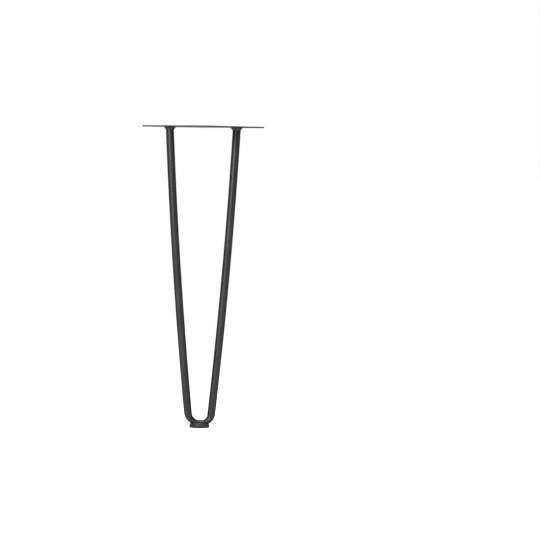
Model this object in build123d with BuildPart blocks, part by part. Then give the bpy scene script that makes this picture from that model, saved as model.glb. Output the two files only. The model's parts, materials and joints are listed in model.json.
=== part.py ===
# A hairpin table leg: one round steel rod bent into a narrow V, its two ends
# welded under a thin square plate and its bend welded onto a small round foot.
# Millimetres. The origin is the middle of the plate's top face, +Z is up, and
# the V lies in the XZ plane, along the plate's diagonal.

import os
from math import acos, degrees, sqrt

from build123d import *

os.makedirs("parts", exist_ok=True)

# Overall height, from the floor to the top of the plate
leg_height = 355.6

# Plate: a square turned to stand on its corner, so its diagonal lies along X
plate_side = 101.6
plate_thickness = 1.6
plate_corner_radius = 0.5
plate_edge_radius = 0.25

# Screw holes: one near each corner of the plate, in from both edges, with room
# for a screw's head between the hole and the weld bead
screw_hole_diameter = 5.5
screw_edge_inset = 8.4
screw_head_room = 10.65
screw_count = 4

# Rod: two long legs that bow outward a little, then a tight bend. The spread at
# the bend is between the axes of the two legs, just above its corners.
rod_diameter = 9.525
rod_spread_at_bend = 27.6
rod_bow_radius = 6330.0

# Bend: the left corner is rounder than the right one, and each leaves a level
# run to the middle. The rod is pressed thinner in the plane of the V and a
# little wider across it, and its underside is ground flat on the foot.
bend_radius_left = 12.8
bend_radius_right = 10.3
bend_least_run = 0.4
bend_thickness = 6.2
bend_width = 11.0
bend_flat_depth = 0.3

# Foot: a flat disc, well rounded at the floor and only a little at its top
foot_diameter = 24.0
foot_thickness = 3.0
foot_top_edge_radius = 0.3
foot_bottom_edge_radius = 1.8

# Beads that join the rod's ends to the plate, wider on the inside of the V
plate_weld_height = 3.0
plate_weld_leg_outside = 2.3
plate_weld_leg_inside = 3.2
plate_weld_toe = 0.3
plate_weld_hollow = 0.35

# Mound of weld that joins the bend to the foot
foot_weld_ledge = 0.15
foot_weld_taper = 0.6
foot_weld_shoulder_height = 1.9
foot_weld_crown_drop = 1.8
foot_weld_round = 1.2

# Levels of the main faces, below the plate's top face
plate_underside = -plate_thickness
floor_level = -leg_height
foot_top = floor_level + foot_thickness
bend_axis_level = foot_top - bend_flat_depth + bend_thickness / 2
bend_top = bend_axis_level + bend_thickness / 2

# The rod's ends stand inside the screw holes, on the same diagonal
rod_radius = rod_diameter / 2
screw_circle_radius = (plate_side / 2 - screw_edge_inset) * sqrt(2)
bead_edge = screw_circle_radius - screw_hole_diameter / 2 - screw_head_room
rod_spread_at_plate = 2 * (bead_edge - plate_weld_leg_outside - rod_radius)


# Where the centre-line of one leg runs, as (x, z) in the plane of the V. Side
# is 1 for the right leg and -1 for the left one. The leg bows on a very large
# circle that meets the round corner of the bend with no kink, so the centre of
# that circle, the top of the leg and the centre of the corner make a triangle
# with all three sides known.
def leg_course(side, bend_radius):
    corner_radius = min(bend_radius, rod_spread_at_bend / 2 - bend_least_run)
    top = Vector(rod_spread_at_plate / 2, 0)
    corner_centre = Vector(rod_spread_at_bend / 2 - corner_radius, bend_axis_level + corner_radius)
    reach = corner_centre - top
    between_centres = rod_bow_radius - corner_radius
    at_top = acos(
        (rod_bow_radius**2 + reach.length**2 - between_centres**2) / (2 * rod_bow_radius * reach.length)
    )
    bow_centre = top + reach.normalized().rotate(Axis.Z, -degrees(at_top)) * rod_bow_radius
    outward_at_top = (top - bow_centre).normalized()
    outward_at_bend = (corner_centre - bow_centre).normalized()
    bow_end = bow_centre + outward_at_bend * rod_bow_radius
    return {
        "side": side,
        "top": (side * top.X, top.Y),
        "top_direction": (side * outward_at_top.Y, -outward_at_top.X),
        "bow_end": (side * bow_end.X, bow_end.Y),
        "bend_direction": (side * outward_at_bend.Y, -outward_at_bend.X),
        "bend_bottom": (side * corner_centre.X, bend_axis_level),
        "bottom_direction": (-side, 0),
    }


# A plane across the rod at one point of its centre-line, with its local X
# across the V, so that all the sections line up
def across_rod(point, direction):
    return Plane(
        origin=(point[0], 0, point[1]),
        x_dir=(0, 1, 0),
        z_dir=(direction[0], 0, direction[1]),
    )


left_leg = leg_course(-1, bend_radius_left)
right_leg = leg_course(1, bend_radius_right)

with BuildPart() as mounting_plate:
    with BuildSketch():
        Rectangle(plate_side, plate_side, rotation=45)
        fillet(vertices(), radius=min(plate_corner_radius, plate_side / 4))
    extrude(amount=-plate_thickness)
    rims = edges().group_by(Axis.Z)[0] + edges().group_by(Axis.Z)[-1]
    fillet(rims, radius=min(plate_edge_radius, plate_thickness / 4))
    with PolarLocations(screw_circle_radius, screw_count):
        Hole(radius=screw_hole_diameter / 2)

with BuildPart() as hairpin_rod:
    with BuildSketch(across_rod(left_leg["bend_bottom"], left_leg["bottom_direction"])):
        Ellipse(bend_width / 2, bend_thickness / 2)
    extrude(amount=right_leg["bend_bottom"][0] - left_leg["bend_bottom"][0])
    for leg in (left_leg, right_leg):
        with BuildLine(Plane.XZ):
            TangentArc(leg["bow_end"], leg["bend_bottom"], tangent=leg["bend_direction"])
        with BuildSketch(across_rod(leg["bow_end"], leg["bend_direction"])):
            Circle(rod_radius)
        with BuildSketch(across_rod(leg["bend_bottom"], leg["bottom_direction"])):
            Ellipse(bend_width / 2, bend_thickness / 2)
        sweep(multisection=True)
        with BuildLine(Plane.XZ):
            TangentArc(leg["top"], leg["bow_end"], tangent=leg["top_direction"])
        with BuildSketch(across_rod(leg["top"], leg["top_direction"])):
            Circle(rod_radius)
        sweep()
    split(bisect_by=Plane.XY.offset(plate_underside), keep=Keep.BOTTOM)
    split(bisect_by=Plane.XY.offset(foot_top), keep=Keep.TOP)

with BuildPart() as foot_disc:
    with BuildSketch(Plane.XY.offset(floor_level)):
        Circle(foot_diameter / 2)
    extrude(amount=foot_thickness)
    top_rim = edges().filter_by(GeomType.CIRCLE).sort_by(Axis.Z)[-1]
    fillet(top_rim, radius=min(foot_top_edge_radius, foot_thickness / 4))
    bottom_rim = edges().filter_by(GeomType.CIRCLE).sort_by(Axis.Z)[0]
    fillet(bottom_rim, radius=min(foot_bottom_edge_radius, foot_thickness * 0.7))

mounting_plate.part.label = "mounting_plate"
hairpin_rod.part.label = "hairpin_rod"
foot_disc.part.label = "foot_disc"
export_step(mounting_plate.part, "parts/mounting_plate.step")
export_step(hairpin_rod.part, "parts/hairpin_rod.step")
export_step(foot_disc.part, "parts/foot_disc.step")


# A bead round one end of the rod: round sections from the plate down to a thin
# toe on the rod, drawn in a little at half height, less the rod itself
def plate_bead(leg):
    toe_level = plate_underside - plate_weld_height
    lean = leg["top_direction"][0] / leg["top_direction"][1]
    rod_x = leg["top"][0] + plate_underside * lean
    plate_x = rod_x - leg["side"] * (plate_weld_leg_inside - plate_weld_leg_outside) / 2
    plate_radius = rod_radius + (plate_weld_leg_inside + plate_weld_leg_outside) / 2
    toe_x = leg["top"][0] + toe_level * lean
    toe_radius = rod_radius + plate_weld_toe
    waist_radius = (plate_radius + toe_radius) / 2 - plate_weld_hollow
    with BuildPart() as bead:
        with BuildSketch(Plane((plate_x, 0, plate_underside))):
            Circle(plate_radius)
        with BuildSketch(Plane(((plate_x + toe_x) / 2, 0, (plate_underside + toe_level) / 2))):
            Circle(waist_radius)
        with BuildSketch(Plane((toe_x, 0, toe_level))):
            Circle(toe_radius)
        loft()
        add(hairpin_rod.part, mode=Mode.SUBTRACT)
    return bead.part


for leg, bead_name in ((left_leg, "plate_weld_left"), (right_leg, "plate_weld_right")):
    plate_weld = plate_bead(leg)
    plate_weld.label = bead_name
    export_step(plate_weld, f"parts/{bead_name}.step")

# The mound leans in from a narrow ledge on the disc to a rounded shoulder,
# and its crown rises in a shallow dome to the sides of the bend
with BuildPart() as foot_weld:
    base_radius = foot_diameter / 2 - foot_top_edge_radius - foot_weld_ledge
    shoulder_radius = base_radius - foot_weld_taper
    shoulder_level = foot_top + foot_weld_shoulder_height
    crown_level = bend_top - foot_weld_crown_drop
    with BuildSketch(Plane.XZ):
        with BuildLine():
            Line((0, foot_top), (base_radius, foot_top))
            Line((base_radius, foot_top), (shoulder_radius, shoulder_level))
            TangentArc((0, crown_level), (shoulder_radius, shoulder_level), tangent=(1, 0))
            Line((0, crown_level), (0, foot_top))
        make_face()
        shoulder = vertices().sort_by_distance((shoulder_radius, shoulder_level))[0]
        fillet(shoulder, radius=foot_weld_round)
    revolve(axis=Axis.Z)
    add(hairpin_rod.part, mode=Mode.SUBTRACT)

foot_weld.part.label = "foot_weld"
export_step(foot_weld.part, "parts/foot_weld.step")
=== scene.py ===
import json
from math import acos, atan2, cos, hypot, pi, radians, sin, sqrt, tan

import bpy
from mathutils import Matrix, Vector

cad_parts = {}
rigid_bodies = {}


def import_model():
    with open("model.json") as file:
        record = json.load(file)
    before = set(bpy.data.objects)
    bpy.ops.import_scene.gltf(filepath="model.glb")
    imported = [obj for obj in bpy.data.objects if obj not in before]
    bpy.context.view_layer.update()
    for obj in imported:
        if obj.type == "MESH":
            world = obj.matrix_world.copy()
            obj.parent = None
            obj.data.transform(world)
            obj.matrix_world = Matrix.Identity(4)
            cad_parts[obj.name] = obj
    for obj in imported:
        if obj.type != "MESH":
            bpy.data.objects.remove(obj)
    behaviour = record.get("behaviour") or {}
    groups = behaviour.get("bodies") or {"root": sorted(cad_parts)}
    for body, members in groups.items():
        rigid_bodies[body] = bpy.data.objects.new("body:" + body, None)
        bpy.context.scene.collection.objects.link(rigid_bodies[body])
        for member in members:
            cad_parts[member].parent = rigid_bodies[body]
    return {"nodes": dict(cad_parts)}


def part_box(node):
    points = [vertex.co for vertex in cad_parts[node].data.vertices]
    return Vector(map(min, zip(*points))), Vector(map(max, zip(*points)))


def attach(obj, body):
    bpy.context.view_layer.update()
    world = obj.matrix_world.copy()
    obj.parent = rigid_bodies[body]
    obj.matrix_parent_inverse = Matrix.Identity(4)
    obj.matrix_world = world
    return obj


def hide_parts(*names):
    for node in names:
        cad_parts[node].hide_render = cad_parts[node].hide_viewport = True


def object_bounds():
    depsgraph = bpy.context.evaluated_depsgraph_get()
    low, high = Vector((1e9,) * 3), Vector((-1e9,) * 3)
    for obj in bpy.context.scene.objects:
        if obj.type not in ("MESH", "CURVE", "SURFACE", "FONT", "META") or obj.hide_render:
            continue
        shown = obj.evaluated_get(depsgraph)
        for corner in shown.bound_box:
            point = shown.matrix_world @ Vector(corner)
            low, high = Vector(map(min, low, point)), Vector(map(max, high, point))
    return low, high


# The startup scene's own cube, lamp and camera go
bpy.ops.object.select_all(action="SELECT")
bpy.ops.object.delete()

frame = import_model()
cadLow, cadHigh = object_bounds()
nodes = frame["nodes"]
plateLow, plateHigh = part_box("mounting_plate")
discLow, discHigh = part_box("foot_disc")
print("frame loaded:", len(nodes), "nodes")


# Camera: a little below the plate, and turned so that the leg stands left of the middle
camera = {
    "place": (0.0, -3.22, -0.030),
    "turn": (87.540, -0.824, -1.402),
    "lens": 182.3,
    "sensor": 36.0,
}

bpy.ops.object.camera_add(location=camera["place"], rotation=[radians(turn) for turn in camera["turn"]])
cameraObject = bpy.context.object
cameraObject.name = "studio_camera"
cameraObject.data.lens = camera["lens"]
cameraObject.data.sensor_width = camera["sensor"]
bpy.context.scene.camera = cameraObject
print("camera placed")


# A socket of a node tree. Python's operators on it add Math nodes.
class Wire:
    def __init__(self, tree, socket=None):
        self.tree = tree
        self.socket = socket

    # Any other node: its settings come first, then the values or links of its sockets
    def node(self, kind, settings=None, sockets=None, output=0):
        made = self.tree.nodes.new("ShaderNode" + kind)
        for name, value in (settings or {}).items():
            setattr(made, name, value)
        for name, value in (sockets or {}).items():
            if isinstance(value, Wire):
                self.tree.links.new(value.socket, made.inputs[name])
            else:
                made.inputs[name].default_value = value
        return Wire(self.tree, made.outputs[output])

    def maths(self, operation, first, second):
        return self.node("Math", {"operation": operation}, {0: first, 1: second})

    def __add__(self, other):
        return self.maths("ADD", self, other)

    def __radd__(self, other):
        return self.maths("ADD", other, self)

    def __sub__(self, other):
        return self.maths("SUBTRACT", self, other)

    def __rsub__(self, other):
        return self.maths("SUBTRACT", other, self)

    def __mul__(self, other):
        return self.maths("MULTIPLY", self, other)

    def __rmul__(self, other):
        return self.maths("MULTIPLY", other, self)

    # 0 where the value is at low and 1 where it is at high, eased between
    def ease(self, low, high):
        settings = {"interpolation_type": "SMOOTHSTEP"}
        return self.node("MapRange", settings, {"Value": self, "From Min": low, "From Max": high})

    # One colour where this wire is 0 and the other where it is 1
    def blend(self, first, second):
        return self.node("Mix", {"data_type": "RGBA"}, {0: self, 6: first, 7: second}, 2)


# Studio: a soft lamp on the left of the camera, level with the plate and near it, draws
# the streak that fades down each rod. Two high up, one on the camera's side of the leg
# and one behind it, glint on the corner and on the level run of the bend.
studio = {
    "ambient": 0.60,
    "keyLamp": {"place": (-0.53, -1.06, 0.16), "width": 0.55, "height": 0.42, "power": 10.0},
    "topLamp": {"place": (-0.22, -0.34, 1.00), "width": 0.50, "height": 0.30, "power": 6.0},
    "backLamp": {"place": (-0.12, 0.34, 1.00), "width": 0.30, "height": 0.30, "power": 6.5},
    "aim": (0.0, 0.0, -0.12),
    "white": (1, 1, 1, 1),
    "floorColour": (0.92, 0.92, 0.92, 1),
    "floorRoughness": 0.9,
    "floorSpecular": 0.1,
    "floorGlow": 0.46,
    "floorReach": 60.0,
}


def addLamp(name, lamp):
    bpy.ops.object.light_add(type="AREA", location=lamp["place"])
    light = bpy.context.object
    light.name = name
    light.data.shape = "RECTANGLE"
    light.data.size = lamp["width"]
    light.data.size_y = lamp["height"]
    light.data.energy = lamp["power"]
    direction = Vector(studio["aim"]) - light.location
    light.rotation_euler = direction.to_track_quat("-Z", "Y").to_euler()


# 1 for the camera's rays and for those in reflections or through glass, 0 for other rays
def seenDirectly(start):
    kinds = ("Camera", "Glossy", "Transmission")
    fromCamera, inReflection, throughGlass = (
        start.node("LightPath", output=f"Is {kind} Ray") for kind in kinds
    )
    return (fromCamera + inReflection + throughGlass).ease(0, 1)


# White for the camera and in reflections, dimmer as a light on the object
def lightWorld():
    world = bpy.data.worlds.new("studio_world")
    bpy.context.scene.world = world
    world.use_nodes = True
    background = world.node_tree.nodes["Background"]
    background.inputs["Color"].default_value = studio["white"]
    seen = seenDirectly(Wire(world.node_tree))
    strength = studio["ambient"] + seen * (1 - studio["ambient"])
    world.node_tree.links.new(strength.socket, background.inputs["Strength"])


# Pale floor with the leg's own soft shadow. The camera and the steel also see a little
# glow from it, so that it runs into the white behind it.
def layFloor():
    bpy.ops.mesh.primitive_plane_add(size=studio["floorReach"], location=(0, 0, cadLow.z))
    floor = bpy.context.object
    floor.name = "studio_floor"
    material = bpy.data.materials.new("pale_floor")
    material.use_nodes = True
    shader = material.node_tree.nodes["Principled BSDF"]
    shader.inputs["Base Color"].default_value = studio["floorColour"]
    shader.inputs["Roughness"].default_value = studio["floorRoughness"]
    shader.inputs["Specular IOR Level"].default_value = studio["floorSpecular"]
    shader.inputs["Emission Color"].default_value = studio["white"]
    glow = seenDirectly(Wire(material.node_tree)) * studio["floorGlow"]
    material.node_tree.links.new(glow.socket, shader.inputs["Emission Strength"])
    floor.data.materials.append(material)


lightWorld()
addLamp("key_lamp", studio["keyLamp"])
addLamp("top_lamp", studio["topLamp"])
addLamp("back_lamp", studio["backLamp"])
layFloor()
bpy.context.scene.view_settings.view_transform = "Standard"
print("studio lit")


# Makes one piece the only thing selected, so that the next operator acts on it alone
def pickOnly(piece):
    bpy.ops.object.select_all(action="DESELECT")
    piece.select_set(True)
    bpy.context.view_layer.objects.active = piece


# In edit mode, selects the vertices of those numbers and no others
def pickVertices(piece, numbers):
    bpy.ops.mesh.select_mode(type="VERT")
    bpy.ops.mesh.select_all(action="DESELECT")
    bpy.ops.object.mode_set(mode="OBJECT")
    for number in numbers:
        piece.data.vertices[number].select = True
    bpy.ops.object.mode_set(mode="EDIT")


# In edit mode, turns every face of a closed shell outwards
def faceOutwards():
    bpy.ops.mesh.select_all(action="SELECT")
    bpy.ops.mesh.normals_make_consistent(inside=False)


def addSmoothing(piece, levels):
    smooth = piece.modifiers.new("smooth", "SUBSURF")
    smooth.levels = levels
    smooth.render_levels = levels


# Uneven metal: clouds of that size push the skin of the piece in and out
def addLumps(piece, size, height, detail):
    clouds = bpy.data.textures.new(piece.name + "_clouds", "CLOUDS")
    clouds.noise_scale = size
    clouds.noise_depth = detail
    lumps = piece.modifiers.new("lumps", "DISPLACE")
    lumps.texture = clouds
    lumps.texture_coords = "LOCAL"
    lumps.strength = height
    lumps.vertex_group = "skin"


def applyModifiers(piece):
    pickOnly(piece)
    for name in [modifier.name for modifier in piece.modifiers]:
        bpy.ops.object.modifier_apply(modifier=name)


# Rod: swept ring by ring along its course. Each leg bows outwards on a very large circle
# and runs into the round corner of the bend, where the rod is pressed flatter.
rod = {
    "radius": 0.0047625,
    "spreadAtPlate": 0.0790,
    "spreadAtBend": 0.0276,
    "bowRadius": 6.330,
    "cornerRadius": {-1: 0.0128, 1: 0.0103},
    "bendThickness": 0.0062,
    "bendWidth": 0.0110,
    "flatDepth": 0.0003,
    "columns": 40,
    "bowRings": 22,
    "cornerRings": 12,
    "smoothing": 1,
    "waveSize": 0.009,
    "waveHeight": 0.00007,
    "waveDetail": 2,
    "cutThreshold": 1e-7,
    "creaseAngle": radians(40),
}


# Stations down one leg, from the plate's top face to the bottom of its corner. An angle is
# measured at the middle of the circle that the station lies on.
def legStations(side):
    corner = rod["cornerRadius"][side]
    bow = rod["bowRadius"]
    bendLevel = discHigh.z - rod["flatDepth"] + rod["bendThickness"] / 2
    top = Vector((rod["spreadAtPlate"] / 2, plateHigh.z))
    cornerMiddle = Vector((rod["spreadAtBend"] / 2 - corner, bendLevel + corner))
    reach = cornerMiddle - top
    atTop = acos((bow**2 + reach.length_squared - (bow - corner) ** 2) / (2 * bow * reach.length))
    toBowMiddle = atan2(reach.y, reach.x) - atTop
    bowMiddle = top + bow * Vector((cos(toBowMiddle), sin(toBowMiddle)))
    topAngle = toBowMiddle + pi
    toCorner = cornerMiddle - bowMiddle
    meetAngle = atan2(toCorner.y, toCorner.x)
    bottomAngle = -pi / 2
    stations = []
    for count in range(rod["bowRings"]):
        angle = topAngle + (meetAngle - topAngle) * count / rod["bowRings"]
        stations.append((bowMiddle + bow * Vector((cos(angle), sin(angle))), angle, 0.0))
    for count in range(rod["cornerRings"] + 1):
        share = count / rod["cornerRings"]
        angle = meetAngle + (bottomAngle - meetAngle) * share
        stations.append((cornerMiddle + corner * Vector((cos(angle), sin(angle))), angle, share))
    return stations


# The rings of the whole rod, down the left leg and up the right one. A ring is turned by
# how far its course has turned from straight down.
def rodRings():
    rings = []
    for side in (-1, 1):
        leg = []
        for place, angle, pressed in legStations(side):
            leg.append({
                "place": Vector((side * place.x, 0, place.y)),
                "turn": -angle if side < 0 else pi + angle,
                "thick": rod["radius"] + (rod["bendThickness"] / 2 - rod["radius"]) * pressed,
                "wide": rod["radius"] + (rod["bendWidth"] / 2 - rod["radius"]) * pressed,
            })
        rings += leg if side < 0 else leg[::-1]
    return rings


# The cut's usual threshold is a tenth of a millimetre. It would take vertices near the
# level as lying on it, and double the faces between them.
def cutLevel(level, keepBelow):
    bpy.ops.mesh.select_all(action="SELECT")
    bpy.ops.mesh.bisect(
        plane_co=(0, 0, level), plane_no=(0, 0, 1), use_fill=True, threshold=rod["cutThreshold"],
        clear_outer=keepBelow, clear_inner=not keepBelow,
    )


# A circle at the top of the left leg is extruded from ring to ring. With no window,
# transform.rotate turns against the usual sense.
def sweepRod(rings):
    first = rings[0]
    bpy.ops.object.select_all(action="DESELECT")
    bpy.ops.mesh.primitive_circle_add(
        vertices=rod["columns"], radius=first["thick"],
        location=first["place"], rotation=(0, -first["turn"], 0),
    )
    piece = bpy.context.object
    piece.name = "bent_rod"
    bpy.ops.object.transform_apply(location=True, rotation=True, scale=True)
    bpy.ops.object.mode_set(mode="EDIT")
    bpy.ops.mesh.select_all(action="SELECT")
    for ring, last in zip(rings[1:], rings):
        step = ring["place"] - last["place"]
        bpy.ops.mesh.extrude_region_move(TRANSFORM_OT_translate={"value": step})
        turned = ring["turn"] - last["turn"]
        bpy.ops.transform.rotate(value=turned, orient_axis="Y", center_override=ring["place"])
        across = (cos(ring["turn"]), 0, sin(ring["turn"]))
        along = (sin(ring["turn"]), 0, -cos(ring["turn"]))
        bpy.ops.transform.resize(
            value=(ring["thick"] / last["thick"], ring["wide"] / last["wide"], 1),
            orient_type="GLOBAL", orient_matrix_type="GLOBAL", orient_matrix=(across, (0, 1, 0), along),
            center_override=ring["place"],
        )
    bpy.ops.object.mode_set(mode="OBJECT")
    return piece


def makeRod():
    piece = sweepRod(rodRings())
    addSmoothing(piece, rod["smoothing"])
    skin = piece.vertex_groups.new(name="skin")
    skin.add(range(len(piece.data.vertices)), 1.0, "REPLACE")
    addLumps(piece, rod["waveSize"], rod["waveHeight"], rod["waveDetail"])
    applyModifiers(piece)
    bpy.ops.object.mode_set(mode="EDIT")
    cutLevel(plateLow.z, True)
    cutLevel(discHigh.z, False)
    faceOutwards()
    bpy.ops.object.mode_set(mode="OBJECT")
    bpy.ops.object.shade_smooth_by_angle(angle=rod["creaseAngle"])
    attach(piece, "root")
    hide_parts("hairpin_rod")
    print("rod made:", len(piece.data.polygons), "faces")
    return piece


bentRod = makeRod()


# A ripple of a bead is four columns of vertices wide: a crest, a slope, a trough, a slope
columnsPerRipple = 4


# A bead starts as rings of vertices along its profile. Each row of the profile gives a
# ring's radius, the x of its middle, its level, how much of the ripples and of the lumps
# it takes, and how far it lags behind in its turn.
def stackRings(name, columns, rows):
    first = rows[0]
    bpy.ops.object.select_all(action="DESELECT")
    bpy.ops.mesh.primitive_circle_add(
        vertices=columns, radius=first["radius"], location=(first["middle"], 0, first["level"])
    )
    piece = bpy.context.object
    piece.name = name
    bpy.ops.object.transform_apply(location=True, rotation=True, scale=True)
    bpy.ops.object.mode_set(mode="EDIT")
    bpy.ops.mesh.select_all(action="SELECT")
    for row, last in zip(rows[1:], rows):
        step = (row["middle"] - last["middle"], 0, row["level"] - last["level"])
        bpy.ops.mesh.extrude_region_move(TRANSFORM_OT_translate={"value": step})
        share = row["radius"] / last["radius"]
        pivot = (row["middle"], 0, row["level"])
        bpy.ops.transform.resize(value=(share, share, 1), center_override=pivot)
    bpy.ops.object.mode_set(mode="OBJECT")
    return piece


# The number of each ring vertex, by its row and its column
def ringNumbers(piece, columns, rows):
    near = 2e-6  # how far a vertex may be off its ring
    numbers = {}
    for vertex in piece.data.vertices:
        for count, row in enumerate(rows):
            across = vertex.co.x - row["middle"]
            reach = hypot(across, vertex.co.y)
            if abs(vertex.co.z - row["level"]) < near and abs(reach - row["radius"]) < near:
                column = round(atan2(vertex.co.y, across) / (2 * pi) * columns) % columns
                numbers[count, column] = vertex.index
    return numbers


# The crest of each ripple is drawn out of the metal and its trough is pressed in. Then
# each row turns a little, which bends the ripples to crescents.
def rippleRings(piece, columns, rows, numbers, bead):
    bpy.ops.object.mode_set(mode="EDIT")
    for count, row in enumerate(rows):
        if row["ripple"] == 0:
            continue
        for start, sign in ((0, 1), (columnsPerRipple // 2, -1)):
            chosen = range(start, columns, columnsPerRipple)
            pickVertices(piece, [numbers[count, column] for column in chosen])
            bpy.ops.transform.shrink_fatten(value=sign * row["ripple"] * bead["rippleHeight"] / 2)
        pickVertices(piece, [numbers[count, column] for column in range(columns)])
        pivot = (row["middle"], 0, row["level"])
        bpy.ops.transform.rotate(value=row["lag"], orient_axis="Z", center_override=pivot)
    bpy.ops.object.mode_set(mode="OBJECT")


# Smooths rippled rings and makes their metal uneven
def finishBead(piece, bead, rows, numbers):
    skin = piece.vertex_groups.new(name="skin")
    for (count, column), number in numbers.items():
        skin.add([number], rows[count]["skin"], "REPLACE")
    addSmoothing(piece, bead["smoothing"])
    applyModifiers(piece)
    addLumps(piece, bead["lumpSize"], bead["lumpHeight"], bead["lumpDetail"])
    applyModifiers(piece)
    bpy.ops.object.shade_smooth_by_angle(angle=bead["creaseAngle"])


# Beads under the plate: a hollow fillet round each end of the rod, wider on the inside.
# Their edges take only part of the ripples and of the lumps.
plateBead = {
    "rodLean": radians(2.76),
    "inwards": 0.00045,
    "toe": 0.0003,
    "hollow": 0.00035,
    "sunk": 0.0001,
    "rows": (0.0, 0.1, 0.24, 0.4, 0.56, 0.72, 0.87, 1.0),
    "ripples": 32,
    "rippleHeight": 0.00016,
    "rippleLag": radians(10),
    "edgeRipple": 0.3,
    "edgeSkin": 0.25,
    "smoothing": 2,
    "lumpSize": 0.0028,
    "lumpHeight": 0.00045,
    "lumpDetail": 2,
    "creaseAngle": radians(50),
}


# The rows of one bead, from the plate down to the toe and back up inside the rod
def plateBeadRows(low, high, side):
    bead = plateBead
    plateMiddle = (low.x + high.x) / 2
    rodMiddle = plateMiddle + side * bead["inwards"]
    height = high.z - low.z
    toeMiddle = rodMiddle - side * height * tan(bead["rodLean"])
    plateRadius = (high.x - low.x) / 2
    toeRadius = rod["radius"] + bead["toe"]
    rows = []
    for share in bead["rows"]:
        halfway = 4 * share * (1 - share)  # 0 at both edges of the bead and 1 between them
        rows.append({
            "radius": plateRadius + (toeRadius - plateRadius) * share - bead["hollow"] * halfway,
            "middle": plateMiddle + (toeMiddle - plateMiddle) * share,
            "level": high.z - height * share,
            "ripple": bead["edgeRipple"] + (1 - bead["edgeRipple"]) * halfway,
            "lag": -bead["rippleLag"] * halfway,
            "skin": bead["edgeSkin"] + (1 - bead["edgeSkin"]) * halfway,
        })
    inside = {"radius": rod["radius"] - bead["sunk"], "ripple": 0, "lag": 0, "skin": 0}
    rows.append({**inside, "middle": toeMiddle, "level": low.z})
    rows.append({**inside, "middle": rodMiddle, "level": high.z})
    return rows


def makePlateBead(name, node, side):
    low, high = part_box(node)
    rows = plateBeadRows(low, high, side)
    columns = plateBead["ripples"] * columnsPerRipple
    piece = stackRings(name, columns, rows)
    numbers = ringNumbers(piece, columns, rows)
    ends = (0, len(rows) - 1)
    bpy.ops.object.mode_set(mode="EDIT")
    pickVertices(piece, [numbers[count, column] for count in ends for column in range(columns)])
    bpy.ops.mesh.bridge_edge_loops()
    faceOutwards()
    bpy.ops.object.mode_set(mode="OBJECT")
    rippleRings(piece, columns, rows, numbers, plateBead)
    finishBead(piece, plateBead, rows, numbers)
    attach(piece, "root")
    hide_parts(node)
    print("bead made:", name, len(piece.data.polygons), "faces")
    return piece


leftBead = makePlateBead("weld_bead_left", "plate_weld_left", -1)
rightBead = makePlateBead("weld_bead_right", "plate_weld_right", 1)


# Mound on the foot: its side leans in a little from a ledge on the disc to a rounded
# shoulder, and a shallow dome rises from there to the rod's bend. The base takes only part
# of the ripples and of the lumps, and the ripples fade out inwards from the shoulder.
footMound = {
    "taper": 0.0002,
    "shoulderHeight": 0.0025,
    "crownDrop": 0.0016,
    "sideRows": (0.0, 0.28, 0.58),
    "domeRows": (0.935, 0.86, 0.78, 0.70, 0.62, 0.54, 0.46, 0.36, 0.24, 0.12),
    "ripples": 44,
    "rippleHeight": 0.00015,
    "rippleLag": radians(8),
    "rippleFade": 3.2,
    "baseRipple": 0.4,
    "baseSkin": 0.15,
    "smoothing": 2,
    "lumpSize": 0.0034,
    "lumpHeight": 0.0007,
    "lumpDetail": 2,
    "creaseAngle": radians(50),
}


def footMoundRows(low, high):
    mound = footMound
    baseRadius = (high.x - low.x) / 2
    shoulderRadius = baseRadius - mound["taper"]
    shoulderLevel = low.z + mound["shoulderHeight"]
    crownLevel = low.z - rod["flatDepth"] + rod["bendThickness"] - mound["crownDrop"]
    drop = crownLevel - shoulderLevel
    domeRadius = (shoulderRadius**2 + drop**2) / (2 * drop)
    rows = []
    for share in mound["sideRows"]:
        rows.append({
            "radius": baseRadius - mound["taper"] * share,
            "level": low.z + mound["shoulderHeight"] * share,
            "ripple": mound["baseRipple"] + (1 - mound["baseRipple"]) * share,
            "lag": -mound["rippleLag"] * share,
            "skin": mound["baseSkin"] + (1 - mound["baseSkin"]) * share,
        })
    for share in mound["domeRows"]:
        radius = shoulderRadius * share
        rows.append({
            "radius": radius,
            "level": crownLevel - domeRadius + sqrt(domeRadius**2 - radius**2),
            "ripple": max(0.0, 1 - mound["rippleFade"] * (1 - share)),
            "lag": -mound["rippleLag"] * share**2,
            "skin": 1.0,
        })
    return [{**row, "middle": 0.0} for row in rows]


# The mound's first and last rings are closed, and the bend of the rod is cut out of it
def makeFootMound():
    low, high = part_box("foot_weld")
    rows = footMoundRows(low, high)
    columns = footMound["ripples"] * columnsPerRipple
    piece = stackRings("foot_weld_mound", columns, rows)
    numbers = ringNumbers(piece, columns, rows)
    rippleRings(piece, columns, rows, numbers, footMound)
    finishBead(piece, footMound, rows, numbers)
    bpy.ops.object.mode_set(mode="EDIT")
    bpy.ops.mesh.select_mode(type="EDGE")
    bpy.ops.mesh.select_all(action="DESELECT")
    bpy.ops.mesh.select_non_manifold()
    bpy.ops.mesh.edge_face_add()
    faceOutwards()
    bpy.ops.object.mode_set(mode="OBJECT")
    fit = piece.modifiers.new("fit_round_rod", "BOOLEAN")
    fit.operation = "DIFFERENCE"
    fit.object = bentRod
    applyModifiers(piece)
    bpy.ops.object.shade_smooth_by_angle(angle=footMound["creaseAngle"])
    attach(piece, "root")
    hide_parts("foot_weld")
    print("mound made:", len(piece.data.polygons), "faces")
    return piece


mound = makeFootMound()


# A new material with the sockets that are the same all over, and its object coordinates
def startMaterial(name, constants):
    material = bpy.data.materials.new(name)
    material.use_nodes = True
    for socket, value in constants.items():
        material.node_tree.nodes["Principled BSDF"].inputs[socket].default_value = value
    return material, Wire(material.node_tree).node("TexCoord", output="Object")


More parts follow.
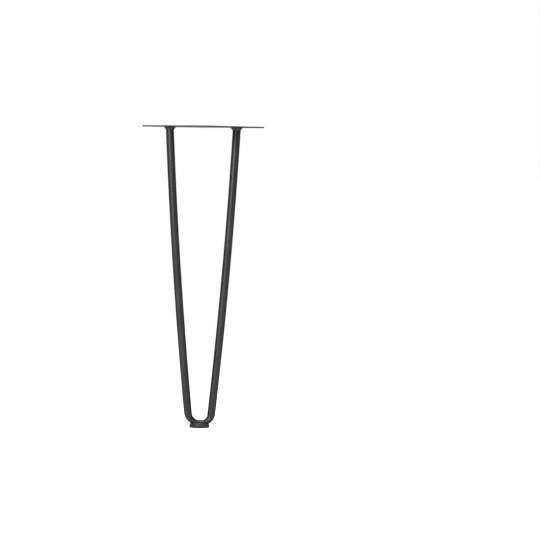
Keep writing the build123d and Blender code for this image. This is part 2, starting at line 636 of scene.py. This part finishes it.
# Links what changes over the surface to the shader's sockets
def finishMaterial(material, colour, roughness, height, depth):
    tree = material.node_tree
    shader = tree.nodes["Principled BSDF"]
    bump = height.node("Bump", None, {"Distance": depth, "Height": height})
    for socket, wire in (("Base Color", colour), ("Roughness", roughness), ("Normal", bump)):
        tree.links.new(wire.socket, shader.inputs[socket])
    return material


# Noise with that many cells in a metre along x, y and z
def clouds(place, layer):
    scaled = place.node("VectorMath", {"operation": "MULTIPLY"}, {0: place, 1: layer["cells"]})
    return scaled.node("TexNoise", None, {"Vector": scaled, "Scale": 1.0, "Detail": layer["detail"]})


# The same noise as a mask: 0 up to the first of its limits and 1 from the second on
def cloudMask(place, layer):
    return clouds(place, layer).ease(*layer["limits"])


def alongAxis(place, axis):
    return place.node("SeparateXYZ", None, {0: place}, axis)


def distanceTo(place, point):
    return place.node("VectorMath", {"operation": "DISTANCE"}, {0: place, 1: point}, "Value")


def middleOf(piece):
    corners = [Vector(corner) for corner in piece.bound_box]
    return sum(corners, Vector()) / len(corners)


# Steel as it comes from the mill, dark with scale: the colours that all pieces share
scale = {
    "grey": (0.035, 0.034, 0.035, 1),
    "warmGrey": (0.044, 0.0385, 0.036, 1),
    "coolGrey": (0.034, 0.0335, 0.0385, 1),
    "dark": (0.023, 0.022, 0.022, 1),
    "chipped": (0.095, 0.09, 0.086, 1),
    "heatPurple": (0.044, 0.038, 0.0405, 1),
    "heatBrown": (0.044, 0.038, 0.036, 1),
    "same": {"Metallic": 0.85, "Specular Tint": (0.25, 0.25, 0.26, 1)},
}


# The rod turns cooler towards the bend and is tinted by heat at its welds. Below the right bead it is
# darkened with painted shade of the plate, together with real weld scorch, and it is burnished in the bend.
# A tint is how much of its colour it lays on.
rodFinish = {
    "patches": {"cells": (70, 70, 26), "detail": 3, "limits": (0.38, 0.62)},
    "streaks": {"cells": (900, 900, 45), "detail": 3, "limits": (0.45, 0.75)},
    "flecks": {"cells": (2600, 2600, 1500), "detail": 1, "limits": (0.68, 0.74)},
    "grain": {"cells": (3200, 3200, 2400), "detail": 3},
    "coolLevels": (-0.290, -0.325),
    "topHeatLevels": (-0.013, -0.005),
    "bendHeatLevels": (-0.343, -0.350),
    "burnishLevels": (-0.339, -0.346),
    "scorchShadeReach": (0.029, 0.011),
    "streakTint": 0.5,
    "fleckTint": 0.5,
    "coolTint": 0.8,
    "heatTint": 0.6,
    "scorchShadeTint": 0.7,
    "roughness": 0.33,
    "patchRoughness": 0.08,
    "fleckRoughness": 0.06,
    "burnishGloss": 0.07,
    "scorchShadeRoughness": 0.06,
    "streakHeight": 0.6,
    "fleckDepth": 0.8,
    "bumpDepth": 0.000015,
}


def rodSteel():
    finish = rodFinish
    material, place = startMaterial("scaled_rod_steel", scale["same"])
    patches = cloudMask(place, finish["patches"])
    streaks = cloudMask(place, finish["streaks"])
    flecks = cloudMask(place, finish["flecks"])
    grain = clouds(place, finish["grain"])
    level = alongAxis(place, "Z")
    cool = level.ease(*finish["coolLevels"])
    heated = level.ease(*finish["topHeatLevels"]) + level.ease(*finish["bendHeatLevels"])
    burnished = level.ease(*finish["burnishLevels"])
    # Darker below the right bead: painted shade of the plate's shadow, together with real weld scorch
    scorchedAndShaded = distanceTo(place, middleOf(rightBead)).ease(*finish["scorchShadeReach"])
    colour = patches.blend(scale["grey"], scale["warmGrey"])
    colour = (streaks * finish["streakTint"]).blend(colour, scale["dark"])
    colour = (flecks * finish["fleckTint"]).blend(colour, scale["chipped"])
    colour = (cool * finish["coolTint"]).blend(colour, scale["coolGrey"])
    colour = (heated * finish["heatTint"]).blend(colour, scale["heatPurple"])
    colour = (scorchedAndShaded * finish["scorchShadeTint"]).blend(colour, scale["dark"])
    roughness = finish["roughness"] + finish["patchRoughness"] * patches + finish["fleckRoughness"] * flecks
    roughness = roughness - finish["burnishGloss"] * burnished + finish["scorchShadeRoughness"] * scorchedAndShaded
    height = grain + finish["streakHeight"] * streaks - finish["fleckDepth"] * flecks
    return finishMaterial(material, colour, roughness, height, finish["bumpDepth"])


# The plate is streaked along its diagonal in the plane of the V, and tinted by heat round
# its beads
plateFinish = {
    "specularTint": (0.45, 0.45, 0.45, 1),
    "patches": {"cells": (45, 45, 200), "detail": 4, "limits": (0.40, 0.60)},
    "rolled": {"cells": (40, 900, 900), "detail": 3, "limits": (0.50, 0.75)},
    "flecks": {"cells": (1600, 1600, 1600), "detail": 2, "limits": (0.66, 0.72)},
    "grain": {"cells": (2400, 2400, 2400), "detail": 3},
    "heatReach": (0.016, 0.009),
    "rolledTint": 0.5,
    "fleckTint": 0.5,
    "heatTint": 0.6,
    "roughness": 0.24,
    "patchRoughness": 0.10,
    "fleckRoughness": 0.14,
    "rolledHeight": 0.5,
    "fleckDepth": 0.8,
    "bumpDepth": 0.000015,
}


def plateSteel():
    finish = plateFinish
    constants = {**scale["same"], "Specular Tint": finish["specularTint"]}
    material, place = startMaterial("scaled_plate_steel", constants)
    patches = cloudMask(place, finish["patches"])
    rolled = cloudMask(place, finish["rolled"])
    flecks = cloudMask(place, finish["flecks"])
    grain = clouds(place, finish["grain"])
    colour = patches.blend(scale["grey"], scale["warmGrey"])
    colour = (rolled * finish["rolledTint"]).blend(colour, scale["dark"])
    colour = (flecks * finish["fleckTint"]).blend(colour, scale["chipped"])
    for bead in (leftBead, rightBead):
        middle = middleOf(bead)
        heated = distanceTo(place, (middle.x, middle.y, plateHigh.z)).ease(*finish["heatReach"])
        colour = (heated * finish["heatTint"]).blend(colour, scale["heatPurple"])
    roughness = finish["roughness"] + finish["patchRoughness"] * patches + finish["fleckRoughness"] * flecks
    height = grain + finish["rolledHeight"] * rolled - finish["fleckDepth"] * flecks
    return finishMaterial(material, colour, roughness, height, finish["bumpDepth"])


# The disc is scuffed all over and rubbed lighter where it meets the floor
discFinish = {
    "patches": {"cells": (160, 160, 160), "detail": 3, "limits": (0.40, 0.60)},
    "scuffs": {"cells": (500, 500, 2400), "detail": 3, "limits": (0.50, 0.66)},
    "grain": {"cells": (2400, 2400, 2400), "detail": 3},
    "rubbedHeight": 0.0008,
    "rubbedTint": 0.6,
    "roughness": 0.42,
    "scuffRoughness": 0.2,
    "scuffDepth": 0.8,
    "bumpDepth": 0.00005,
}


def discSteel():
    finish = discFinish
    material, place = startMaterial("scuffed_foot_steel", scale["same"])
    patches = cloudMask(place, finish["patches"])
    scuffs = cloudMask(place, finish["scuffs"])
    grain = clouds(place, finish["grain"])
    rubbed = scuffs * alongAxis(place, "Z").ease(discLow.z + finish["rubbedHeight"], discLow.z)
    colour = patches.blend(scale["warmGrey"], scale["heatBrown"])
    colour = (rubbed * finish["rubbedTint"]).blend(colour, scale["chipped"])
    roughness = finish["roughness"] + finish["scuffRoughness"] * scuffs
    height = grain - finish["scuffDepth"] * scuffs
    return finishMaterial(material, colour, roughness, height, finish["bumpDepth"])


# The welds are flecked with slag, and the one on the foot is tinted browner in patches
weldFinish = {
    "patches": {"cells": (420, 420, 420), "detail": 3, "limits": (0.42, 0.60)},
    "slag": {"cells": (1300, 1300, 1300), "detail": 3, "limits": (0.56, 0.64)},
    "grain": {"cells": (3000, 3000, 3000), "detail": 2},
    "brownLevels": (-0.300, -0.345),
    "slagTint": 0.55,
    "brownTint": 0.7,
    "roughness": 0.28,
    "slagRoughness": 0.22,
    "slagHeight": 0.7,
    "bumpDepth": 0.00005,
}


def weldMetal():
    finish = weldFinish
    material, place = startMaterial("weld_metal", scale["same"])
    patches = cloudMask(place, finish["patches"])
    slag = cloudMask(place, finish["slag"])
    grain = clouds(place, finish["grain"])
    brown = patches * alongAxis(place, "Z").ease(*finish["brownLevels"])
    colour = patches.blend(scale["heatPurple"], scale["grey"])
    colour = (slag * finish["slagTint"]).blend(colour, scale["chipped"])
    colour = (brown * finish["brownTint"]).blend(colour, scale["heatBrown"])
    roughness = finish["roughness"] + finish["slagRoughness"] * slag
    height = grain + finish["slagHeight"] * slag
    return finishMaterial(material, colour, roughness, height, finish["bumpDepth"])


weldMaterial = weldMetal()
for bead in (leftBead, rightBead, mound):
    bead.data.materials.append(weldMaterial)
bentRod.data.materials.append(rodSteel())
nodes["mounting_plate"].material_slots[0].material = plateSteel()
nodes["foot_disc"].material_slots[0].material = discSteel()
print("materials set")
